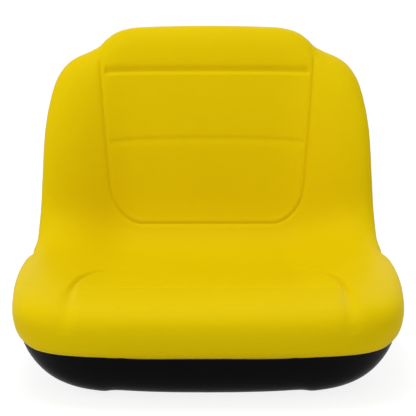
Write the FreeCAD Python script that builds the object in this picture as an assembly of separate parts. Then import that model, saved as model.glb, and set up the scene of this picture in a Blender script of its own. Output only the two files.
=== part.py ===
"""Ride-on mower seat: one moulded bucket cushion in a one-piece moulded shell, with four threaded
inserts in the shell's floor.

The seat faces -Y and +X is the right-hand side for someone looking at its front.  The origin is the
centre of the four mounting holes, on the plane that the shell's pads rest on.  Sizes are millimetres.
"""
import FreeCAD, Part
import math
import os
from collections import namedtuple

# Overall sizes of the cushion
SEAT_WIDTH = 506.0            # across the side bolsters of the seat
BACK_WIDTH = 472.0            # across the wings of the back
SEAT_FRONT = 243.0            # origin to the front of the nose
BACK_FACE = 174.0             # origin to the face of the back, at the waist
BACK_LEAN = 67.0              # how far the top roll lies behind the waist
SEAT_HEIGHT = 131.0           # front crest of the seat above the mounting plane
SEAT_DIP = 23.0               # how far the seat falls from its crest to its rear
BACK_HEIGHT = 423.5           # top roll above the mounting plane
SEAT_BOLSTER = 34.0           # rise of the seat's side bolsters, at the rear of the seat
WING_BOLSTER = 40.0           # rise of the wings beside the waist
HEAD_HALF = 118.0             # half of the flat stretch along the top
HEAD_CROWN = 3.0              # how far that stretch is arched
NECK_RUN = 48.0               # width of the slope from the head down to the shoulder
NECK_DROP = 37.0              # height of that slope
SHOULDER_START = 171.0        # where the shoulder starts to round off, from the middle
SHOULDER_RADIUS = 29.0

# Rim, where the skin is tucked into the shell
RIM_HEIGHT = 64.0             # rim of the seat pan above the mounting plane
RIM_WIDTH = 480.0             # across the rim of the seat pan
NOSE_OVERHANG = 26.0          # how far the nose stands out ahead of the rim
RIM_CORNER_DEPTH = 135.0      # length of the rounded front corner of the rim, fore and aft
RIM_CORNER_POWER = 3.0        # squareness of that corner: 2 is an ellipse
BACK_RIM_BELOW = 36.0         # the middle of the rear rim lies this far below the top roll
BACK_RIM_DROP = 0.85          # share of the head and shoulder outline that the rear rim follows
BACK_RIM_HALF = 184.0         # from the middle to where the rear rim turns down the side
BACK_RIM_CURVE = 10.0         # how far the rear rim comes forward there
BACK_RIM_REACH = 34.0         # width over which it turns down the side
BACK_DEPTH = 264.0            # origin to the rear rim
BACK_FOOT_RUN = 102.0         # from the end of the pan's floor to the rear rim, fore and aft
PAN_FRONT_RUN = 80.0          # from the front rim to where the pan's floor is flat

# Shell
SHELL_WALL = 3.5
FIT_GAP = 0.3                 # between the cushion's underside and the shell
PAD_PROUD = 0.5               # the round pads stand this far below the runners
RUNNER_DROP = 4.0             # the runners stand this far below the middle of the floor
RUNNER_WIDTH = 44.0
RUNNER_SLOPE = 8.0            # width of the slope from the floor down to a runner

# Mounting: four inserts moulded into bosses on the runners
BOLT_SPACING_X = 285.75
BOLT_SPACING_Y = 254.0
THREAD_HOLE = 6.6             # bore of a 5/16 in coarse thread
INSERT_DIAMETER = 12.7
INSERT_LENGTH = 16.0
INSERT_GROOVE = 1.0           # depth of the ring groove that locks the insert in the plastic
BOSS_WALL = 5.0
BOSS_ROOF = 4.0               # plastic above the insert
BOSS_POCKET_GAP = 1.5         # foam clear of the boss
PAD_DIAMETER = 34.0

# Openings in the floor
WINDOW_LENGTH = 58.0          # opening for the seat switch, fore and aft
WINDOW_WIDTH = 46.0
WINDOW_CORNER = 8.0
DRAIN_DIAMETER = 9.0
DRAIN_SPACING_X = 190.0
DRAIN_SPACING_Y = 180.0

# Embossed lines in the skin
GROOVE_WIDTH = 6.0
GROOVE_DEPTH = 2.5
BACK_PANEL_TOP = 390.0        # height where the back panel's side lines run out
BACK_PANEL_TOP_HALF = 153.5   # half-width of the back panel there
BACK_PANEL_LOW_HALF = 133.0   # and at its lower end
BACK_PANEL_LOW = 144.8        # height of its lower line
BACK_PANEL_CORNER_ACROSS = 42.0
BACK_PANEL_CORNER_ALONG = 52.0
BACK_LINE_HIGH = 358.0        # height of the upper cross line
BACK_LINE_HIGH_CROWN = 0.8    # and how far it is arched
BACK_LINE_MID = 264.3         # height of the middle cross line
BACK_LINE_MID_CROWN = 3.9
SEAT_PANEL_HALF = 182.0       # half-width of the seat panel
SEAT_PANEL_REAR = 29.0        # rear line of the seat panel, behind the origin
SEAT_PANEL_CORNER_ACROSS = 87.0
SEAT_PANEL_CORNER_ALONG = 209.0
SEAT_LINE = 106.0             # cross line of the seat panel, ahead of the origin
SEAT_LINE_BOW = 36.0          # its ends run this far forwards
SEAT_GROOVE_END = 100.0       # height on the nose where the seat panel's lines run out
TOOL_CLEAR = 10.0             # how far a tool stands clear of the skin or wall that it cuts

DEGREE = 3
V = FreeCAD.Vector


def lerp(a, b, t):
    return a + (b - a) * t


def smooth(t):
    t = min(max(t, 0.0), 1.0)
    return t * t * (3.0 - 2.0 * t)


def outline_drop(x):
    """How far the top outline of the back has fallen, x from the middle: head, neck, shoulder."""
    head = HEAD_CROWN * min(x / HEAD_HALF, 1.0) ** 2
    neck = NECK_DROP * smooth((x - HEAD_HALF) / NECK_RUN)
    shoulder = max(x - SHOULDER_START, 0.0) ** 2 / (2.0 * SHOULDER_RADIUS)
    return head + neck + shoulder


# The pan floor inside the cushion's underside, over the middle and over the runners
FLOOR = PAD_PROUD + SHELL_WALL + FIT_GAP + RUNNER_DROP
RIM_FRONT = -SEAT_FRONT + NOSE_OVERHANG
BACK_RIM_TOP = BACK_HEIGHT - BACK_RIM_BELOW
RIM_CORNER_END = RIM_FRONT + RIM_CORNER_DEPTH
RUNNER_X = BOLT_SPACING_X / 2.0
SEAT_HALF = SEAT_WIDTH / 2.0
BACK_HALF = BACK_WIDTH / 2.0
RIM_HALF = RIM_WIDTH / 2.0


# Places along the form, each as a share of the way between two named places
def nose_y(t):
    """0 at the front rim, 1 at the front of the nose."""
    return RIM_FRONT - NOSE_OVERHANG * t


def nose_z(t):
    """0 at the front rim, 1 at the front crest of the seat."""
    return lerp(RIM_HEIGHT, SEAT_HEIGHT, t)


def seat_y(t):
    """0 at the front of the nose, 1 at the face of the back."""
    return lerp(-SEAT_FRONT, BACK_FACE, t)


def seat_z(t):
    """0 at the front crest of the seat, 1 at its low rear."""
    return SEAT_HEIGHT - SEAT_DIP * t


def back_y(t):
    """0 at the face of the back, 1 at the middle of the top roll."""
    return BACK_FACE + BACK_LEAN * t


def back_z(t):
    """0 at the low rear of the seat, 1 at the top roll."""
    return lerp(SEAT_HEIGHT - SEAT_DIP, BACK_HEIGHT, t)


def pan_y(t):
    """0 at the front rim, 1 where the pan's floor is flat."""
    return RIM_FRONT + PAN_FRONT_RUN * t


def pan_z(t):
    """0 on the pan's floor, 1 at the rim of the seat pan."""
    return lerp(FLOOR, RIM_HEIGHT, t)


def rear_y(t):
    """0 at the end of the pan's floor, 1 at the rear rim."""
    return BACK_DEPTH - BACK_FOOT_RUN * (1.0 - t)


def rear_z(t):
    """0 on the pan's floor, 1 at the middle of the rear rim."""
    return lerp(FLOOR, BACK_RIM_TOP, t)


def rim_z(t):
    """0 at the rim of the seat pan, 1 at the middle of the rear rim."""
    return lerp(RIM_HEIGHT, BACK_RIM_TOP, t)


def rim_corner(degrees):
    """Plan of the rim's front corner: 0 degrees at the middle of the front, 90 at the side."""
    power = 2.0 / RIM_CORNER_POWER
    angle = math.radians(degrees)
    x = RIM_HALF * math.sin(angle) ** power
    y = RIM_CORNER_END - RIM_CORNER_DEPTH * max(math.cos(angle), 0.0) ** power
    return x, y


def rear_rim(x):
    """Height of the rear rim, x from the middle."""
    return BACK_RIM_TOP - BACK_RIM_DROP * outline_drop(x)


CORNER_MEETS = 45.0           # the front edge of the skin ends half-way round the rim's corner


def corner_station(step):
    """Rim point for the stations that wrap round the front corner, five steps to its end."""
    x, y = rim_corner(lerp(CORNER_MEETS, 90.0, step / 5.0))
    return x, (y, RIM_HEIGHT)


# One station of the form.  skin, rim and under are points in the side view (y, z): the skin on the
# middle line, the rim at the side, and the underside on the middle line.  half is the half-width of
# the skin, rim_half that of the rim.  bolster is the rise of the side over the middle, drop the
# share of the head and shoulder outline, corner 1 for a section that wraps round a rounded corner
# and 0 for one with a full side, runner the share of the runners' depth.
Station = namedtuple("Station", "skin rim under half rim_half bolster drop corner runner")


def front_station(step, skin, under, half, bolster, corner, runner):
    rim_half, rim = corner_station(step)
    return Station(skin, rim, under, half, rim_half, bolster, 0.0, corner, runner)


def seat_station(skin, rim, under, half, rim_half, bolster, runner):
    return Station(skin, rim, under, half, rim_half, bolster, 0.0, 0.0, runner)


def back_station(skin, rim, under, half, rim_half, bolster, drop):
    return Station(skin, rim, under, half, rim_half, bolster, drop, 0.0, 0.0)


def shoulder_station(outwards, skin, rim_y, under, half, bolster, drop, corner):
    """A station whose rim point lies on the rear rim's line, a share of its reach beyond its end."""
    rim_half = BACK_RIM_HALF + BACK_RIM_REACH * outwards
    rim = (rim_y, rear_rim(rim_half))
    return Station(skin, rim, under, half, rim_half, bolster, drop, corner, 0.0)


def stations():
    """The stations between the front rim and the rear rim, along the spine of the seat."""
    seat = SEAT_HALF
    back = BACK_HALF
    rim = RIM_HALF
    wing = WING_BOLSTER
    return [
        front_station(1, (nose_y(0.80), nose_z(0.03)), (pan_y(0.06), pan_z(0.70)), 0.87 * seat, 0, 1, 0),
        front_station(2, (nose_y(1.0), nose_z(0.36)), (pan_y(0.16), pan_z(0.34)), 0.925 * seat, 0, 1, 0.4),
        front_station(3, (nose_y(0.97), nose_z(0.80)), (pan_y(0.32), pan_z(0.06)), 0.975 * seat,
                      0.03 * SEAT_BOLSTER, 0.8, 0.9),
        front_station(4, (seat_y(0.065), seat_z(-0.04)), (pan_y(0.60), FLOOR), seat,
                      0.24 * SEAT_BOLSTER, 0.5, 1),
        front_station(5, (seat_y(0.23), seat_z(0.09)), (pan_y(1.0), FLOOR), 1.008 * seat,
                      0.47 * SEAT_BOLSTER, 0.2, 1),
        seat_station((seat_y(0.48), seat_z(0.55)), (seat_y(0.61), RIM_HEIGHT), (seat_y(0.43), FLOOR),
                     1.012 * seat, rim, 0.75 * SEAT_BOLSTER, 1),
        seat_station((seat_y(0.70), seat_z(0.96)), (seat_y(0.77), rim_z(0.003)), (seat_y(0.63), FLOOR),
                     1.008 * seat, 0.996 * rim, 0.70 * SEAT_BOLSTER, 1),
        seat_station((seat_y(0.85), seat_z(1.0)), (seat_y(0.91), rim_z(0.015)), (seat_y(0.83), FLOOR),
                     0.946 * seat, 0.97 * rim, 0.96 * SEAT_BOLSTER, 1),
        seat_station((seat_y(0.947), back_z(0.045)), (seat_y(1.02), rim_z(0.068)), (rear_y(0.0), FLOOR),
                     1.02 * back, 0.945 * rim, 1.05 * wing, 1),
        seat_station((seat_y(0.988), back_z(0.137)), (rear_y(0.43), rim_z(0.172)),
                     (rear_y(0.38), rear_z(0.056)), 1.01 * back, 0.93 * rim, 1.025 * wing, 0.5),
        back_station((back_y(0.0), back_z(0.277)), (rear_y(0.55), rim_z(0.322)),
                     (rear_y(0.61), rear_z(0.187)), back, 0.937 * back, 0.95 * wing, 0),
        back_station((back_y(0.09), back_z(0.449)), (rear_y(0.65), back_z(0.355)),
                     (rear_y(0.745), back_z(0.105)), 0.992 * back, 0.933 * back, 0.825 * wing, 0),
        back_station((back_y(0.24), back_z(0.63)), (rear_y(0.755), back_z(0.505)),
                     (rear_y(0.825), back_z(0.293)), 0.975 * back, 0.924 * back, 0.675 * wing, 0.2),
        back_station((back_y(0.39), back_z(0.76)), (rear_y(0.795), back_z(0.612)),
                     (rear_y(0.88), back_z(0.455)), 0.95 * back, 0.903 * back, 0.5 * wing, 0.42),
        shoulder_station(0.8, (back_y(0.52), back_z(0.873)), rear_y(0.843), (rear_y(0.93), back_z(0.592)),
                         0.924 * back, 0.3 * wing, 0.68, 0),
        shoulder_station(0.6, (back_y(0.68), back_z(0.953)), rear_y(0.873), (rear_y(0.97), back_z(0.704)),
                         0.90 * back, 0.15 * wing, 0.9, 0.2),
        shoulder_station(0.4, (back_y(1.0), back_z(1.0)), rear_y(0.892), (rear_y(0.99), back_z(0.787)),
                         0.861 * back, 0.05 * wing, 1, 0.4),
        shoulder_station(0.2, (rear_y(0.99), back_z(0.965)), rear_y(0.902), (rear_y(1.0), back_z(0.845)),
                         0.803 * back, 0, 1, 0.5),
    ]


# Across the skin from the middle to the last pole before the rim: the share of the half-width, and
# how far the section has run from its crest down to the rim.  One set for a full side, one for a
# section round a corner.
SIDE_ACROSS = (0.0, 0.20, 0.40, 0.52, 0.64, 0.76, 0.88, 0.97, 1.01, 0.962)
SIDE_RUN = (0.0, 0.0, 0.0, 0.0, 0.0, 0.0, 0.0, 0.025, 0.22, 0.61)
CORNER_ACROSS = (0.0, 0.20, 0.40, 0.52, 0.64, 0.745, 0.835, 0.91, 0.965, 0.995)
CORNER_RUN = (0.0, 0.0, 0.0, 0.01, 0.035, 0.085, 0.17, 0.31, 0.52, 0.78)
EDGE_ACROSS = (0.0, 0.20, 0.38, 0.52, 0.64, 0.74, 0.82, 0.88, 0.93, 0.97, 1.0)
BOLSTER_FROM = 0.45           # share of the half-width where a bolster starts to rise
BOLSTER_TO = 0.86             # and where it is at its full height
WALL_ACROSS = (0.40, 0.74, 0.95, 1.0)     # poles from the runner's outer edge to the rim
WALL_SWELL = 1.8              # the pan's side wall starts flat from the runner
WALL_STEEP = 0.6             # and ends upright at the rim


def mirrored(half):
    """A full row of poles from the half on the +X side, which starts on the middle line."""
    left = [V(-p.x, p.y, p.z) for p in reversed(half[1:])]
    return left + half


def front_edge():
    """Poles of the front rim: round the corner to where the stations take over."""
    end = rim_corner(CORNER_MEETS)[0]
    half = []
    for share in EDGE_ACROSS:
        x = share * end
        reach = (1.0 - (x / RIM_HALF) ** RIM_CORNER_POWER) ** (1.0 / RIM_CORNER_POWER)
        half.append(V(x, RIM_CORNER_END - RIM_CORNER_DEPTH * reach, RIM_HEIGHT))
    return mirrored(half)


def rear_edge():
    """Poles of the rear rim, which follows the head and shoulders at a distance."""
    half = []
    for share in EDGE_ACROSS:
        x = share * BACK_RIM_HALF
        half.append(V(x, BACK_DEPTH - BACK_RIM_CURVE * share ** 3, rear_rim(x)))
    return mirrored(half)


def skin_row(s):
    """Poles across the skin at one station, in the plane through the X direction, skin and rim."""
    dy = s.rim[0] - s.skin[0]
    dz = s.rim[1] - s.skin[1]
    length = math.hypot(dy, dz)
    half = []
    for k in range(len(SIDE_ACROSS)):
        share = lerp(SIDE_ACROSS[k], CORNER_ACROSS[k], s.corner)
        run = lerp(SIDE_RUN[k], CORNER_RUN[k], s.corner)
        x = share * s.half
        rise = s.bolster * smooth((share - BOLSTER_FROM) / (BOLSTER_TO - BOLSTER_FROM))
        rise -= run * (s.bolster + length)
        drop = s.drop * outline_drop(x)
        y = s.skin[0] - rise * dy / length - 0.12 * drop
        z = s.skin[1] - rise * dz / length - drop * (1.0 - run)
        half.append(V(x, y, z))
    half.append(V(s.rim_half, s.rim[0], s.rim[1]))
    return mirrored(half)


def corner_run(s, x):
    """Share of the way from the underside's middle to the rim, for a row that keeps to the plan of
    the rim's front corner."""
    depth = RIM_CORNER_END - s.under[0]
    power = RIM_CORNER_POWER
    end = (RIM_CORNER_END - s.rim[0]) / depth
    width = s.rim_half / (1.0 - end ** power) ** (1.0 / power)
    reach = max(1.0 - (x / width) ** power, 0.0) ** (1.0 / power)
    return (1.0 - reach) / (1.0 - end)


def wall_share(x, rim_half):
    """How far x lies from the runner's outer edge out to the rim, 0 to 1."""
    outer = RUNNER_X + RUNNER_WIDTH / 2.0
    return min(max((x - outer) / (rim_half - outer), 0.0), 1.0)


def runner_level(x, rim_half):
    """Share of the runner's depth at x: none in the middle, all on the runner, none at the rim."""
    inner = RUNNER_X - RUNNER_WIDTH / 2.0
    fade = 1.0 - wall_share(x, rim_half) ** 2
    return smooth((x - inner) / RUNNER_SLOPE) * fade


def under_row(s):
    """Poles across the underside at one station: floor, runner, then the wall up to the rim."""
    inner = RUNNER_X - RUNNER_WIDTH / 2.0
    outer = RUNNER_X + RUNNER_WIDTH / 2.0
    over_runner = [0.0, 0.5 * inner, 0.85 * inner, inner, inner + RUNNER_SLOPE, RUNNER_X, outer]
    over_runner += [lerp(outer, s.rim_half, t) for t in WALL_ACROSS]
    half = []
    for k in range(len(over_runner)):
        x = lerp(EDGE_ACROSS[k] * s.rim_half, over_runner[k], s.runner)
        t = 1.0 - (1.0 - wall_share(x, s.rim_half) ** WALL_SWELL) ** WALL_STEEP
        if s.drop > 0.0:
            t = lerp(t, outline_drop(x) / outline_drop(s.rim_half), s.drop)
        elif s.corner > 0.0:
            t = lerp(t, corner_run(s, x), s.corner)
        y = lerp(s.under[0], s.rim[0], t)
        z = lerp(s.under[1], s.rim[1], t)
        half.append(V(x, y, z - RUNNER_DROP * s.runner * runner_level(x, s.rim_half)))
    return mirrored(half)


def pole_normal(net, i, j):
    """Downward normal of a net of poles.  At a corner of the net its two directions both run along
    the rim, so the poles near a corner share the normal from further in."""
    near = 3
    last_row = len(net) - 1
    last_col = len(net[0]) - 1
    row = min(max(i, near), last_row - near)
    col = min(max(j, near), last_col - near)
    if row == i or col == j:
        row = i
        col = j
    along = net[min(row + 1, last_row)][col] - net[max(row - 1, 0)][col]
    across = net[row][min(col + 1, last_col)] - net[row][max(col - 1, 0)]
    return along.cross(across).normalize()


def offset_net(net, distance):
    """The poles moved down and back: outwards from the underside, inwards from the skin."""
    moved = []
    for i, row in enumerate(net):
        moved.append([pole + pole_normal(net, i, j) * distance for j, pole in enumerate(row)])
    return moved


def knots(count, degree):
    """Clamped, evenly spaced knots for this many poles: values and multiplicities."""
    spans = count - degree
    values = [float(i) for i in range(spans + 1)]
    mults = [degree + 1] + [1] * (spans - 1) + [degree + 1]
    return values, mults


def spline_face(net):
    """One smooth face from a net of poles.  Two rows give a ruled band."""
    rows_degree = min(DEGREE, len(net) - 1)
    cols_degree = min(DEGREE, len(net[0]) - 1)
    u_knots, u_mults = knots(len(net), rows_degree)
    v_knots, v_mults = knots(len(net[0]), cols_degree)
    surface = Part.BSplineSurface()
    surface.buildFromPolesMultsKnots(net, u_mults, v_mults, u_knots, v_knots, False, False,
                                     rows_degree, cols_degree)
    return surface.toShape()


def solid_from(faces):
    """A closed solid from faces whose edges lie on each other."""
    shell = Part.makeShell(faces)
    shell.sewShape()
    solid = Part.makeSolid(shell)
    if solid.Volume < 0.0:
        solid.reverse()
    return solid


def column(net, j):
    return [row[j] for row in net]


def edges_of(net):
    """The four border rows of a net."""
    return [net[0], net[-1], column(net, 0), column(net, -1)]


def solid_between(net, other):
    """A closed solid between two nets, with a ruled band along each border."""
    faces = [spline_face(net), spline_face(other)]
    for edge, other_edge in zip(edges_of(net), edges_of(other)):
        faces.append(spline_face([edge, other_edge]))
    return solid_from(faces)


def nets():
    """The skin's net and the underside's net, which share the rim."""
    middle = stations()
    front = front_edge()
    rear = rear_edge()
    skin = [front] + [skin_row(s) for s in middle] + [rear]
    under = [front] + [under_row(s) for s in middle] + [rear]
    return skin, under


# A panel's outline: two sides, open at the end, and a low line with rounded corners.  Heights run up
# the back, or forwards from the origin of the seat.
Panel = namedtuple("Panel", "end_half low_half end low corner_across corner_along")
BACK_PANEL = Panel(BACK_PANEL_TOP_HALF, BACK_PANEL_LOW_HALF, BACK_PANEL_TOP, BACK_PANEL_LOW,
                   BACK_PANEL_CORNER_ACROSS, BACK_PANEL_CORNER_ALONG)
SEAT_PANEL = Panel(SEAT_PANEL_HALF, SEAT_PANEL_HALF, SEAT_FRONT + TOOL_CLEAR, -SEAT_PANEL_REAR,
                   SEAT_PANEL_CORNER_ACROSS, SEAT_PANEL_CORNER_ALONG)
ROUND = 0.5523                # reach of a Bezier curve's inner poles that makes a quarter of an ellipse
LINE_STEPS = 5                # points along half of a cross line


def panel_side(panel, height):
    """Half-width of a panel at this height."""
    return lerp(panel.low_half, panel.end_half, (height - panel.low) / (panel.end - panel.low))


def panel_prism(panel, place, inset):
    """A solid through the skin over a panel, its outline moved in by inset.  place turns a point across
    and along the panel, and in or out of it, into space."""
    low = panel.low + inset
    turn = panel.low + panel.corner_along
    tangent = lerp(turn, low, ROUND)
    straight = panel_side(panel, low) - panel.corner_across
    corner = [(straight, low), (lerp(straight, panel_side(panel, low) - inset, ROUND), low),
              (panel_side(panel, tangent) - inset, tangent), (panel_side(panel, turn) - inset, turn)]
    right = [place(x, height, 0.0) for x, height in corner]
    left = [place(-x, height, 0.0) for x, height in corner]
    end_right = place(panel.end_half - inset, panel.end, 0.0)
    end_left = place(inset - panel.end_half, panel.end, 0.0)
    curves = []
    for poles in (right, left):
        curve = Part.BezierCurve()
        curve.setPoles(poles)
        curves.append(curve.toShape())
    wire = Part.Wire([
        Part.makeLine(end_left, end_right),
        Part.makeLine(end_right, right[-1]),
        curves[0],
        Part.makeLine(right[0], left[0]),
        curves[1],
        Part.makeLine(left[-1], end_left),
    ])
    return Part.Face(wire).extrude(place(0.0, 0.0, 1.0) - place(0.0, 0.0, 0.0))


def panel_groove(panel, place):
    """A solid wall over a panel's outline, as wide as a groove."""
    reach = GROOVE_WIDTH / 2.0
    return panel_prism(panel, place, -reach).cut(panel_prism(panel, place, reach))


def cross_groove(panel, height, bow, power, place):
    """The same for one line across a panel, cut off at the outline.  Its ends are bowed towards the
    panel's end: power 2 makes an arch, and a higher power leaves the middle straighter."""
    half = panel_side(panel, height)
    edges = []
    for reach in (-GROOVE_WIDTH / 2.0, GROOVE_WIDTH / 2.0):
        points = []
        for step in range(-LINE_STEPS, LINE_STEPS + 1):
            share = step / LINE_STEPS
            points.append(place(half * share, height + reach + bow * abs(share) ** power, 0.0))
        curve = Part.BSplineCurve()
        curve.interpolate(points)
        edges.append(curve)
    low, high = edges
    wire = Part.Wire([
        low.toShape(),
        Part.makeLine(low.EndPoint, high.EndPoint),
        high.toShape(),
        Part.makeLine(high.StartPoint, low.StartPoint),
    ])
    bar = Part.Face(wire).extrude(place(0.0, 0.0, 1.0) - place(0.0, 0.0, 0.0))
    return bar.common(panel_prism(panel, place, 0.0))


def back_place(x, height, depth):
    """A point over the back: depth runs from ahead of the wings to the middle of the top roll."""
    ahead = BACK_FACE - WING_BOLSTER - 4.0 * TOOL_CLEAR
    return V(x, lerp(ahead, BACK_FACE + BACK_LEAN, depth), height)


def seat_place(x, ahead, depth):
    """A point over the seat: depth runs from above the bolsters down to the end of the lines."""
    above = SEAT_HEIGHT + SEAT_BOLSTER + 2.0 * TOOL_CLEAR
    return V(x, -ahead, lerp(above, SEAT_GROOVE_END, depth))


def embossed(cushion, skin):
    """The panel lines pressed into the skin.  Each takes away what its tool shares with a layer that
    reaches from just outside the skin to the floor of the grooves."""
    layer = solid_between(offset_net(skin, -GROOVE_DEPTH), offset_net(skin, GROOVE_DEPTH))
    tools = [
        panel_groove(BACK_PANEL, back_place),
        cross_groove(BACK_PANEL, BACK_LINE_HIGH, -BACK_LINE_HIGH_CROWN, 2, back_place),
        cross_groove(BACK_PANEL, BACK_LINE_MID, -BACK_LINE_MID_CROWN, 2, back_place),
        panel_groove(SEAT_PANEL, seat_place),
        cross_groove(SEAT_PANEL, SEAT_LINE, SEAT_LINE_BOW, 4, seat_place),
    ]
    for tool in tools:
        cushion = cushion.cut(layer.common(tool))
    return cushion


def bolt_places():
    half_x = BOLT_SPACING_X / 2.0
    half_y = BOLT_SPACING_Y / 2.0
    return [V(sx * half_x, sy * half_y, 0.0) for sx in (-1, 1) for sy in (-1, 1)]


def boss_top():
    return INSERT_LENGTH + BOSS_ROOF


def insert_blank():
    """Outside of one insert at the origin, without its bore: two lands and a ring groove."""
    radius = INSERT_DIAMETER / 2.0
    neck = radius - INSERT_GROOVE
    low = 0.4 * INSERT_LENGTH
    high = 0.6 * INSERT_LENGTH
    outline = [(0, 0), (radius, 0), (radius, low), (neck, low), (neck, high), (radius, high),
               (radius, INSERT_LENGTH), (0, INSERT_LENGTH), (0, 0)]
    face = Part.Face(Part.makePolygon([V(r, 0.0, z) for r, z in outline]))
    return face.revolve(V(0, 0, 0), V(0, 0, 1), 360)


def threaded_inserts():
    """Four steel inserts as one group of separate solids."""
    blank = insert_blank()
    bore = Part.makeCylinder(THREAD_HOLE / 2.0, INSERT_LENGTH)
    one = blank.cut(bore)
    copies = []
    for place in bolt_places():
        copy = one.copy()
        copy.translate(place)
        copies.append(copy)
    return Part.makeCompound(copies)


def boss():
    """One boss at the origin: a round pad on the mounting plane and a post for the insert."""
    pad = Part.makeCylinder(PAD_DIAMETER / 2.0, PAD_PROUD + SHELL_WALL)
    post = Part.makeCylinder(INSERT_DIAMETER / 2.0 + BOSS_WALL, boss_top())
    return pad.fuse(post).removeSplitter()


def floor_openings():
    """Tools for the switch opening and the drain holes in the floor."""
    depth = PAD_PROUD + SHELL_WALL + RUNNER_DROP + TOOL_CLEAR
    window = Part.makeBox(WINDOW_WIDTH, WINDOW_LENGTH, 2.0 * depth,
                          V(-WINDOW_WIDTH / 2.0, -WINDOW_LENGTH / 2.0, -depth))
    upright = [e for e in window.Edges if abs(e.tangentAt(e.FirstParameter).z) > 0.9]
    tools = [window.makeFillet(WINDOW_CORNER, upright)]
    for sx in (-1, 1):
        for sy in (-1, 1):
            at = V(sx * DRAIN_SPACING_X / 2.0, sy * DRAIN_SPACING_Y / 2.0, -depth)
            tools.append(Part.makeCylinder(DRAIN_DIAMETER / 2.0, 2.0 * depth, at))
    return tools


def shell(under):
    """The one-piece shell: pan and back, with bosses, insert seats and floor openings."""
    body = solid_between(offset_net(under, FIT_GAP), offset_net(under, FIT_GAP + SHELL_WALL))
    for place in bolt_places():
        post = boss()
        post.translate(place)
        body = body.fuse(post)
    for place in bolt_places():
        seat = insert_blank()
        seat.translate(place)
        body = body.cut(seat)
    for tool in floor_openings():
        body = body.cut(tool)
    return body


def cushion(skin, under):
    """The moulded foam with its skin: one piece, with pockets over the shell's bosses."""
    body = solid_from([spline_face(skin), spline_face(under)])
    body = embossed(body, skin)
    radius = INSERT_DIAMETER / 2.0 + BOSS_WALL + BOSS_POCKET_GAP
    for place in bolt_places():
        body = body.cut(Part.makeCylinder(radius, boss_top() + BOSS_POCKET_GAP, place))
    return body


def main():
    os.makedirs("parts", exist_ok=True)
    skin, under = nets()
    pieces = {
        "cushion": cushion(skin, under),
        "shell": shell(under),
        "threaded_inserts": threaded_inserts(),
    }
    for name, shape in pieces.items():
        shape.exportStep("parts/" + name + ".step")


main()
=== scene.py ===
"""Looks of the ride-on mower seat: the moulded skin with its soft panel lines, the textured shell and
the plated inserts, with a pale floor, soft light and the photograph's camera.  Lengths are metres."""

import math
from collections import namedtuple

import bmesh
import bpy
import numpy as np
from mathutils import Matrix, Vector
from mathutils.bvhtree import BVHTree


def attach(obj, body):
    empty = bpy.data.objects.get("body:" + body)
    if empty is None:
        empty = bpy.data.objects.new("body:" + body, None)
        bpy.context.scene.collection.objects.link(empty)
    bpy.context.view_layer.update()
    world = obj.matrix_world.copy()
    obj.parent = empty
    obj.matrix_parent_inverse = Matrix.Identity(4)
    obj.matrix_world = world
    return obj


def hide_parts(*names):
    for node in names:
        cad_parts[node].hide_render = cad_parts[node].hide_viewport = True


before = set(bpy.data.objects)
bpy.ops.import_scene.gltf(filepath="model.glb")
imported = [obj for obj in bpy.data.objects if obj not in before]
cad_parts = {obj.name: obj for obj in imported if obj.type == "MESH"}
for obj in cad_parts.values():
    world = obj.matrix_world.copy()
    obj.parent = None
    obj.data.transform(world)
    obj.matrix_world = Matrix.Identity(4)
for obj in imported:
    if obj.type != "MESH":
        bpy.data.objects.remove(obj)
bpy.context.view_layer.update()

# Camera of the photograph, angles in degrees
IMAGE_PIXELS = 416
FOCAL_PIXELS = 1905.0
SENSOR_WIDTH = 36.0           # millimetres, as cameras have it
CAMERA_TARGET = Vector((0.0004, 0.0, 0.205))
CAMERA_DISTANCE = 2.548
CAMERA_ELEVATION = 13.0
CAMERA_AZIMUTH = -0.25
CAMERA_CLIP_END = 50.0

# Light and floor
Lamp = namedtuple("Lamp", "name place size power")
LAMPS = (Lamp("key", (-0.35, -0.5, 3.0), 1.3, 29.0),
         Lamp("side", (-2.2, -1.0, 1.3), 1.8, 9.0),
         Lamp("rear", (0.9, 2.2, 1.9), 0.5, 4.0))
LAMPS_AIM = (0.0, 0.0, 0.2)
WORLD_SEEN = 1.0
WORLD_LIGHT = 0.62
FLOOR_HALF = 12.0
FLOOR_SEEN = 0.24             # how much light the floor that is seen gives back
FLOOR_BOUNCE = 0.75           # and how much it gives back to the object
FLOOR_GLOW = 0.85             # added to the floor that is seen, so that it is white in open light
FLOOR_ROUGHNESS = 0.9
FLOOR_SPECULAR = 0.1
WHITE = (1.0, 1.0, 1.0, 1.0)

# Mesh of the skin
VOXEL = 0.0045
WELD = 1e-5                   # points of the solid's mesh that are closer than this become one
LINE_REGIONS = (0.013, 0.007)  # the mesh is halved this close to a panel line, and halved again
LINE_FAIRED = 0.008           # the solid's groove is smoothed out this close to its line
LINE_FAIRED_FULLY = 0.6       # share of that distance with full smoothing
FAIR_STEPS = 240
SMOOTH_STEPS = 4
SMOOTH_WEIGHT = 0.5
SHELL_CLEARANCE = 0.0005

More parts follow.
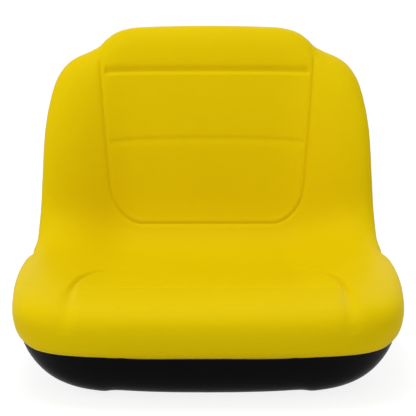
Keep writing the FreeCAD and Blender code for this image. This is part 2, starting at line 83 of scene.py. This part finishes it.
# Panel lines, at the places where the solid has them.  Heights run up the back, or forwards on the seat.
Panel = namedtuple("Panel", "end_half low_half end low corner_across corner_along")
BACK_PANEL = Panel(end_half=0.1535, low_half=0.133, end=0.390, low=0.1448,
                   corner_across=0.042, corner_along=0.052)
SEAT_PANEL = Panel(end_half=0.182, low_half=0.182, end=0.253, low=-0.029,
                   corner_across=0.087, corner_along=0.209)
Line = namedtuple("Line", "height bow power")
BACK_LINE_HIGH = Line(height=0.358, bow=-0.0008, power=2)
BACK_LINE_MID = Line(height=0.2643, bow=-0.0039, power=2)
SEAT_LINE = Line(height=0.106, bow=0.036, power=4)
ROLL_MIDDLE = 0.241           # the back's side lines end over the middle of the top roll
NOSE_END = 0.100              # the seat's side lines end at this height on the nose
SEAT_MEETS_BACK = 0.10
FACES_SITTER = 0.1            # how far a point of the skin has to face the sitter to bear a line
FACES_ROUND = 0.5             # or, over the top roll and the nose, to face upwards or forwards
LEAST_SLOPE = 1e-6            # keeps a distance finite in the middle of a corner's ellipse

# Panel lines as they are drawn, with their depths and their widths inside and outside
SEAT_DRAWN = Panel(end_half=0.1750, low_half=0.1750, end=0.253, low=-0.034,
                   corner_across=0.068, corner_along=0.200)  # a little inside the solid's line
Press = namedtuple("Press", "depth inner outer")
BACK_SIDE_SOFT = Press(depth=0.0013, inner=0.0034, outer=0.0044)
BACK_SIDE_SHARP = Press(depth=0.0015, inner=0.0015, outer=0.0015)
BACK_HIGH_PRESS = Press(depth=0.0037, inner=0.0024, outer=0.0066)
BACK_MID_PRESS = Press(depth=0.0011, inner=0.0060, outer=0.0034)
SEAT_CROSS_PRESS = Press(depth=0.0013, inner=0.0026, outer=0.0026)
BACK_SIDE_FADES = (0.368, 0.383)   # heights between which the back's side lines run out
SEAT_SIDE_DEPTH = 0.0044
SEAT_SIDE_WIDTH = 0.0030
SEAT_SIDE_EASES = 0.4         # share of the depth that is lost towards the nose
SEAT_SIDE_SPREADS = 0.0064    # width that is gained towards the nose
SEAT_SIDE_AHEAD = (0.11, 0.23)     # distances ahead between which both change
SEAT_SIDE_STARTS = (0.085, 0.135)  # distances from the middle between which the line sets in
SEAT_SIDE_ENDS = (0.006, 0.030)    # heights over the nose's end between which it runs out
LINE_STOPS_SHORT = 0.003      # a cross line ends this far inside the panel
LINE_RUN_OUT = 0.006          # and is at full depth this much further in

# Corners of the outline that the skin fills, and the notch between wing and bolster
Corner = namedtuple("Corner", "across height reach gain")
HEAD_CORNER = Corner(across=0.137, height=0.400, reach=0.022, gain=0.0026)
SHOULDER_CORNER = Corner(across=0.203, height=0.356, reach=0.032, gain=0.0027)
WAIST_BEHIND = 0.070          # place of the notch along the seat
WAIST_HEIGHT = 0.125
WAIST_SETS_IN = (0.030, 0.010)     # distances under that height between which the moves set in
WAIST_FADES = 0.045           # distance over it in which they run out
WAIST_FULL = 0.0024           # the skin is this much fuller round the notch
WAIST_NOTCH = 0.0068          # and this much deeper in it
WAIST_REACH = 0.050
WAIST_NARROW = 0.014

# Colours, linear, and surfaces
SKIN_LIGHT = (0.80, 0.585, 0.0012)
SKIN_DARK = (0.77, 0.560, 0.0008)
SKIN_ROUGHNESS = (0.40, 0.56)
SKIN_SPECULAR = 0.02
GRAIN_SCALE = 620.0
GRAIN_CREASE = 0.22           # width of the creases between the cells of the grain, as a share of a cell
GRAIN_WARP_SCALE = 300.0
GRAIN_WARP = 0.0012           # the cells are bent this far out of shape
SHELL_LIGHT = (0.0016, 0.0016, 0.0020)
SHELL_DARK = (0.0008, 0.0008, 0.0010)
SHELL_ROUGHNESS = (0.30, 0.46)
SHELL_SPECULAR = 0.04
STEEL_LIGHT = (0.66, 0.64, 0.58)
STEEL_DARK = (0.50, 0.49, 0.45)
STEEL_ROUGHNESS = (0.26, 0.46)
TURNING_STRETCH = (1.0, 1.0, 24.0)


def bell(distance, inner, outer):
    """1 on a line, falling to 0 over the width on each side: inner below zero, outer above it."""
    width = np.where(distance < 0.0, inner, outer)
    return np.exp(-(distance / width) ** 2)


def pressed(press, distance):
    """Depth of a pressed line at a distance from its middle."""
    return press.depth * bell(distance, press.inner, press.outer)


def ramp(value, start, end):
    """0 up to start, 1 from end on, and smooth between."""
    t = np.clip((value - start) / (end - start), 0.0, 1.0)
    return t * t * (3.0 - 2.0 * t)


def panel_half(panel, height):
    """Half of a panel's width at a height."""
    slope = (panel.end_half - panel.low_half) / (panel.end - panel.low)
    return panel.low_half + slope * (height - panel.low)


def panel_distance(panel, x, height):
    """Distance to a panel's outline, below zero inside it.  Its low corners are quarters of ellipses."""
    a, b = panel.corner_across, panel.corner_along
    side = np.abs(x) - panel_half(panel, height) + a
    low = panel.low - height + b
    straight = np.maximum(side - a, low - b)
    reach = np.hypot(side / a, low / b)
    steep = np.hypot(side / a ** 2, low / b ** 2)
    corner = reach * (reach - 1.0) / np.maximum(steep, LEAST_SLOPE)
    return np.where((side > 0.0) & (low > 0.0), corner, straight)


def line_distance(panel, line, x, along):
    """Distance from a cross line, above zero towards the panel's end."""
    return along - line.height - line.bow * np.abs(x / panel_half(panel, line.height)) ** line.power


def line_reach(panel, line, x):
    """1 along a cross line, running out just inside the panel's sides."""
    half = panel_half(panel, line.height)
    return 1.0 - ramp(np.abs(x), half - LINE_RUN_OUT - LINE_STOPS_SHORT, half - LINE_STOPS_SHORT)


def on_back(co, normal):
    """The points of the back that a panel line can run over."""
    front = (co[:, 1] > SEAT_MEETS_BACK) & (co[:, 1] < ROLL_MIDDLE)
    return front & ((normal[:, 1] < -FACES_SITTER) | (normal[:, 2] > FACES_ROUND))


def on_seat(co, normal):
    """The points of the seat that a panel line can run over."""
    top = (co[:, 1] < SEAT_MEETS_BACK) & (co[:, 2] > NOSE_END)
    return top & ((normal[:, 2] > FACES_SITTER) | (normal[:, 1] < -FACES_ROUND))


def nearest_line(co, normal):
    """Distance from each point of the skin to the nearest panel line, the solid's or the drawn one."""
    x, y, z = co.T
    near = np.full(len(co), 1.0)
    back = on_back(co, normal)
    seat = on_seat(co, normal)
    for part, panel, along in ((back, BACK_PANEL, z), (seat, SEAT_PANEL, -y), (seat, SEAT_DRAWN, -y)):
        near[part] = np.minimum(near[part], np.abs(panel_distance(panel, x[part], along[part])))
    for part, panel, along, line in ((back, BACK_PANEL, z, BACK_LINE_HIGH),
                                     (back, BACK_PANEL, z, BACK_LINE_MID),
                                     (seat, SEAT_PANEL, -y, SEAT_LINE)):
        inside = part & (panel_distance(panel, x, along) < 0.0)
        gap = np.abs(line_distance(panel, line, x[inside], along[inside]))
        near[inside] = np.minimum(near[inside], gap)
    return near


def back_depth(x, z):
    """How far the back's panel lines are pressed in."""
    outline = panel_distance(BACK_PANEL, x, z)
    high = line_distance(BACK_PANEL, BACK_LINE_HIGH, x, z)
    middle = line_distance(BACK_PANEL, BACK_LINE_MID, x, z)
    sides = pressed(BACK_SIDE_SOFT, outline) + pressed(BACK_SIDE_SHARP, outline)
    sides *= 1.0 - ramp(z, *BACK_SIDE_FADES)
    upper = pressed(BACK_HIGH_PRESS, high) * line_reach(BACK_PANEL, BACK_LINE_HIGH, x)
    lower = pressed(BACK_MID_PRESS, middle) * line_reach(BACK_PANEL, BACK_LINE_MID, x)
    return np.maximum(np.maximum(sides, upper), lower)


def seat_depth(x, ahead, z):
    """How far the seat's panel lines are pressed in.  The side lines grow wide and faint on the nose."""
    outline = panel_distance(SEAT_DRAWN, x, ahead)
    forward = ramp(ahead, *SEAT_SIDE_AHEAD)
    set_in = ramp(np.abs(x), *SEAT_SIDE_STARTS)
    run_out = ramp(z, NOSE_END + SEAT_SIDE_ENDS[0], NOSE_END + SEAT_SIDE_ENDS[1])
    width = SEAT_SIDE_WIDTH + SEAT_SIDE_SPREADS * forward
    deep = SEAT_SIDE_DEPTH * (1.0 - SEAT_SIDE_EASES * forward)
    sides = deep * set_in * run_out * bell(outline, width, width)
    cross = line_distance(SEAT_PANEL, SEAT_LINE, x, ahead)
    across = pressed(SEAT_CROSS_PRESS, cross) * line_reach(SEAT_PANEL, SEAT_LINE, x)
    return np.maximum(sides, across)


def line_depth(co, normal):
    """How far the panel lines are pressed in at each point of the skin."""
    x, y, z = co.T
    depth = np.zeros(len(co))
    back = on_back(co, normal)
    seat = on_seat(co, normal)
    depth[back] = back_depth(x[back], z[back])
    depth[seat] = seat_depth(x[seat], -y[seat], z[seat])
    return depth


def outline_moves(co, normal):
    """Moves of the outline's points: corners of head and shoulders filled, the waist's notch sharper."""
    x, y, z = co.T
    gain = np.zeros(len(co))
    behind = y > SEAT_MEETS_BACK
    for corner in (HEAD_CORNER, SHOULDER_CORNER):
        gap = np.hypot(np.abs(x) - corner.across, z - corner.height)
        gain += behind * corner.gain * np.exp(-(gap / corner.reach) ** 2)
    moves = normal * (gain * np.hypot(normal[:, 0], normal[:, 2]))[:, None]
    along = y - WAIST_BEHIND
    waist = WAIST_FULL * np.exp(-(along / WAIST_REACH) ** 2)
    waist -= WAIST_NOTCH * np.exp(-(along / WAIST_NARROW) ** 2)
    girth = ramp(z, WAIST_HEIGHT - WAIST_SETS_IN[0], WAIST_HEIGHT - WAIST_SETS_IN[1])
    girth *= 1.0 - ramp(z, WAIST_HEIGHT, WAIST_HEIGHT + WAIST_FADES)
    moves[:, 0] += waist * girth * normal[:, 0]
    return moves


def coordinates(mesh):
    co = np.empty(len(mesh.vertices) * 3)
    mesh.vertices.foreach_get("co", co)
    return co.reshape(-1, 3)


def normals(mesh):
    values = np.empty(len(mesh.vertices) * 3)
    mesh.vertex_normals.foreach_get("vector", values)
    return values.reshape(-1, 3)


def move(mesh, co):
    mesh.vertices.foreach_set("co", co.ravel())
    mesh.update()


def smoothed(mesh, co, weight, steps):
    """Points drawn towards the mean of their neighbours, by weight."""
    edges = np.empty(len(mesh.edges) * 2, dtype=np.int64)
    mesh.edges.foreach_get("vertices", edges)
    a, b = edges.reshape(-1, 2).T
    count = len(co)
    neighbours = np.bincount(np.concatenate((a, b)), minlength=count)[:, None]
    for _ in range(steps):
        total = np.empty_like(co)
        for axis in range(3):
            values = co[:, axis]
            total[:, axis] = np.bincount(a, values[b], count) + np.bincount(b, values[a], count)
        co = co + (total / neighbours - co) * weight[:, None]
    return co


def remeshed(node):
    """An even mesh of a node's solid, as a new object."""
    piece = bpy.data.objects.new("cushion_foam_and_skin", node.data.copy())
    bpy.context.scene.collection.objects.link(piece)
    work = bmesh.new()
    work.from_mesh(piece.data)
    bmesh.ops.remove_doubles(work, verts=work.verts, dist=WELD)
    work.to_mesh(piece.data)
    work.free()
    even = piece.modifiers.new("even", "REMESH")
    even.mode = "VOXEL"
    even.voxel_size = VOXEL
    graph = bpy.context.evaluated_depsgraph_get()
    mesh = bpy.data.meshes.new_from_object(piece.evaluated_get(graph))
    piece.modifiers.clear()
    piece.data = mesh
    return piece


def refine_lines(mesh, region):
    """Halve the mesh along the panel lines."""
    near = nearest_line(coordinates(mesh), normals(mesh)) < region
    work = bmesh.new()
    work.from_mesh(mesh)
    edges = [e for e in work.edges if near[e.verts[0].index] and near[e.verts[1].index]]
    bmesh.ops.subdivide_edges(work, edges=edges, cuts=1, use_grid_fill=True)
    bmesh.ops.triangulate(work, faces=[f for f in work.faces if len(f.verts) > 4])
    work.to_mesh(mesh)
    work.free()


def keep_clear(mesh, other, clearance):
    """Move points that lie too close to another node's surface inwards."""
    graph = bpy.context.evaluated_depsgraph_get()
    tree = BVHTree.FromObject(other, graph)
    co = coordinates(mesh)
    inwards = -normals(mesh)
    for i, point in enumerate(co):
        nearest, _, _, gap = tree.find_nearest(Vector(point), clearance)
        if nearest is not None:
            co[i] += inwards[i] * (clearance - gap)
    move(mesh, co)


def make_cushion():
    """Foam and skin: the solid's form with its cut grooves smoothed out and soft lines drawn in."""
    piece = remeshed(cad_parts["cushion"])
    mesh = piece.data
    for region in LINE_REGIONS:
        refine_lines(mesh, region)
    co = coordinates(mesh)
    near = nearest_line(co, normals(mesh))
    fairing = 1.0 - ramp(near, LINE_FAIRED * LINE_FAIRED_FULLY, LINE_FAIRED)
    co = smoothed(mesh, co, fairing, FAIR_STEPS)
    co = smoothed(mesh, co, np.full(len(co), SMOOTH_WEIGHT), SMOOTH_STEPS)
    move(mesh, co)
    co = co + outline_moves(co, normals(mesh))
    move(mesh, co)
    normal = normals(mesh)
    move(mesh, co - normal * line_depth(co, normal)[:, None])
    keep_clear(mesh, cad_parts["shell"], SHELL_CLEARANCE)
    mesh.shade_smooth()
    return piece


def new_material(name):
    """An empty principled material, with its node tree and shader."""
    material = bpy.data.materials.new(name)
    material.use_nodes = True
    tree = material.node_tree
    return material, tree, tree.nodes["Principled BSDF"]


def object_place(tree):
    """The object's own coordinates."""
    return tree.nodes.new("ShaderNodeTexCoord").outputs["Object"]


def noise(tree, place, scale, detail=2.0, roughness=0.5):
    node = tree.nodes.new("ShaderNodeTexNoise")
    node.inputs["Scale"].default_value = scale
    node.inputs["Detail"].default_value = detail
    node.inputs["Roughness"].default_value = roughness
    tree.links.new(place, node.inputs["Vector"])
    return node.outputs["Fac"]


def between(tree, factor, low, high):
    """A value that follows factor from low to high."""
    node = tree.nodes.new("ShaderNodeMapRange")
    node.inputs["To Min"].default_value = low
    node.inputs["To Max"].default_value = high
    tree.links.new(factor, node.inputs["Value"])
    return node.outputs["Result"]


def mixed(tree, factor, dark, light):
    """A colour that follows factor from dark to light."""
    node = tree.nodes.new("ShaderNodeMix")
    node.data_type = "RGBA"
    node.inputs["A"].default_value = (*dark, 1.0)
    node.inputs["B"].default_value = (*light, 1.0)
    tree.links.new(factor, node.inputs["Factor"])
    return node.outputs["Result"]


def bump(tree, height, distance, strength, base=None):
    node = tree.nodes.new("ShaderNodeBump")
    node.inputs["Distance"].default_value = distance
    node.inputs["Strength"].default_value = strength
    tree.links.new(height, node.inputs["Height"])
    if base is not None:
        tree.links.new(base, node.inputs["Normal"])
    return node.outputs["Normal"]


def grain_creases(tree, place):
    """Leather grain: 0 in the creases between bent cells, 1 on the cells."""
    bend = noise(tree, place, scale=GRAIN_WARP_SCALE).node.outputs["Color"]
    shift = tree.nodes.new("ShaderNodeVectorMath")
    shift.operation = "MULTIPLY_ADD"
    shift.inputs[1].default_value = (GRAIN_WARP, GRAIN_WARP, GRAIN_WARP)
    tree.links.new(bend, shift.inputs[0])
    tree.links.new(place, shift.inputs[2])
    cells = tree.nodes.new("ShaderNodeTexVoronoi")
    cells.feature = "DISTANCE_TO_EDGE"
    cells.inputs["Scale"].default_value = GRAIN_SCALE
    tree.links.new(shift.outputs["Vector"], cells.inputs["Vector"])
    creases = between(tree, cells.outputs["Distance"], 0.0, 1.0)
    creases.node.inputs["From Max"].default_value = GRAIN_CREASE
    return creases


def skin_material():
    """Vinyl: fine leather grain, a slightly uneven satin surface."""
    material, tree, shader = new_material("vinyl_skin")
    place = object_place(tree)
    uneven = noise(tree, place, scale=26.0, detail=3.0)
    pores = noise(tree, place, scale=2600.0)
    surface = bump(tree, uneven, distance=0.0009, strength=0.35)
    surface = bump(tree, grain_creases(tree, place), distance=0.00012, strength=0.55, base=surface)
    surface = bump(tree, pores, distance=0.00005, strength=0.5, base=surface)
    tree.links.new(surface, shader.inputs["Normal"])
    tint = mixed(tree, noise(tree, place, scale=14.0, detail=4.0), SKIN_DARK, SKIN_LIGHT)
    tree.links.new(tint, shader.inputs["Base Color"])
    rough = between(tree, noise(tree, place, scale=90.0, detail=4.0), *SKIN_ROUGHNESS)
    tree.links.new(rough, shader.inputs["Roughness"])
    shader.inputs["Specular IOR Level"].default_value = SKIN_SPECULAR
    return material


def shell_material():
    """Black plastic with a fine moulded texture and faint flow marks."""
    material, tree, shader = new_material("shell_plastic")
    place = object_place(tree)
    coarse = noise(tree, place, scale=700.0, detail=3.0, roughness=0.6)
    fine = noise(tree, place, scale=2400.0)
    flow = noise(tree, place, scale=30.0, detail=5.0, roughness=0.6)
    sheen = noise(tree, place, scale=60.0, detail=5.0, roughness=0.65)
    surface = bump(tree, coarse, distance=0.00025, strength=0.6)
    surface = bump(tree, fine, distance=0.00008, strength=0.5, base=surface)
    tree.links.new(surface, shader.inputs["Normal"])
    tree.links.new(mixed(tree, flow, SHELL_DARK, SHELL_LIGHT), shader.inputs["Base Color"])
    tree.links.new(between(tree, sheen, *SHELL_ROUGHNESS), shader.inputs["Roughness"])
    shader.inputs["Specular IOR Level"].default_value = SHELL_SPECULAR
    return material


def steel_material():
    """Zinc-plated steel with fine turning marks."""
    material, tree, shader = new_material("insert_steel")
    place = object_place(tree)
    stretch = tree.nodes.new("ShaderNodeMapping")
    stretch.inputs["Scale"].default_value = TURNING_STRETCH
    tree.links.new(place, stretch.inputs["Vector"])
    turned = noise(tree, stretch.outputs["Vector"], scale=220.0, detail=3.0)
    plating = noise(tree, place, scale=260.0, detail=4.0)
    sheen = noise(tree, place, scale=500.0, detail=4.0)
    tree.links.new(bump(tree, turned, distance=0.00006, strength=0.4), shader.inputs["Normal"])
    tree.links.new(mixed(tree, plating, STEEL_DARK, STEEL_LIGHT), shader.inputs["Base Color"])
    tree.links.new(between(tree, sheen, *STEEL_ROUGHNESS), shader.inputs["Roughness"])
    shader.inputs["Metallic"].default_value = 1.0
    return material


def dress(piece, material):
    piece.data.materials.clear()
    piece.data.materials.append(material)


def dress_node(name, material):
    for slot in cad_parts[name].material_slots:
        slot.material = material


def seen_directly(tree, strength, other=0.0):
    """strength for what the camera sees, also in a mirror or through glass, and other for the rest."""
    path = tree.nodes.new("ShaderNodeLightPath")
    seen = path.outputs["Is Camera Ray"]
    for name in ("Is Glossy Ray", "Is Transmission Ray"):
        either = tree.nodes.new("ShaderNodeMath")
        either.operation = "MAXIMUM"
        tree.links.new(seen, either.inputs[0])
        tree.links.new(path.outputs[name], either.inputs[1])
        seen = either.outputs[0]
    return between(tree, seen, other, strength)


def make_floor():
    """A pale floor: white where the light is open, grey in the object's shadow."""
    mesh = bpy.data.meshes.new("floor")
    half = FLOOR_HALF
    mesh.from_pydata([(-half, -half, 0.0), (half, -half, 0.0), (half, half, 0.0), (-half, half, 0.0)],
                     [], [(0, 1, 2, 3)])
    floor = bpy.data.objects.new("floor", mesh)
    bpy.context.scene.collection.objects.link(floor)
    material, tree, shader = new_material("floor")
    tree.links.new(seen_directly(tree, FLOOR_SEEN, FLOOR_BOUNCE), shader.inputs["Base Color"])
    shader.inputs["Roughness"].default_value = FLOOR_ROUGHNESS
    shader.inputs["Specular IOR Level"].default_value = FLOOR_SPECULAR
    shader.inputs["Emission Color"].default_value = WHITE
    tree.links.new(seen_directly(tree, FLOOR_GLOW), shader.inputs["Emission Strength"])
    dress(floor, material)


def make_world():
    """White to the camera, and an even dimmer light on the object."""
    world = bpy.data.worlds.new("studio")
    bpy.context.scene.world = world
    world.use_nodes = True
    tree = world.node_tree
    background = tree.nodes["Background"]
    background.inputs["Color"].default_value = WHITE
    tree.links.new(seen_directly(tree, WORLD_SEEN, WORLD_LIGHT), background.inputs["Strength"])


def make_lamp(lamp):
    light = bpy.data.lights.new(lamp.name, "AREA")
    light.shape = "DISK"
    light.size = lamp.size
    light.energy = lamp.power
    piece = bpy.data.objects.new(lamp.name, light)
    bpy.context.scene.collection.objects.link(piece)
    piece.location = lamp.place
    aim = Vector(LAMPS_AIM) - Vector(lamp.place)
    piece.rotation_euler = aim.to_track_quat("-Z", "Y").to_euler()


def make_camera():
    camera = bpy.data.objects.new("camera", bpy.data.cameras.new("camera"))
    bpy.context.scene.collection.objects.link(camera)
    rise = math.radians(CAMERA_ELEVATION)
    swing = math.radians(CAMERA_AZIMUTH)
    back = Vector((math.sin(swing) * math.cos(rise), -math.cos(swing) * math.cos(rise), math.sin(rise)))
    camera.data.sensor_width = SENSOR_WIDTH
    camera.data.lens = FOCAL_PIXELS / IMAGE_PIXELS * SENSOR_WIDTH
    camera.data.clip_end = CAMERA_CLIP_END
    turn = (-back).to_track_quat("-Z", "Y").to_matrix().to_4x4()
    camera.matrix_world = Matrix.Translation(CAMERA_TARGET + back * CAMERA_DISTANCE) @ turn
    bpy.context.scene.camera = camera


bpy.context.scene.view_settings.view_transform = "Standard"
make_camera()
make_world()
make_floor()
for lamp in LAMPS:
    make_lamp(lamp)

cushion = make_cushion()
dress(cushion, skin_material())
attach(cushion, "root")
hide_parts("cushion")
dress_node("shell", shell_material())
dress_node("threaded_inserts", steel_material())
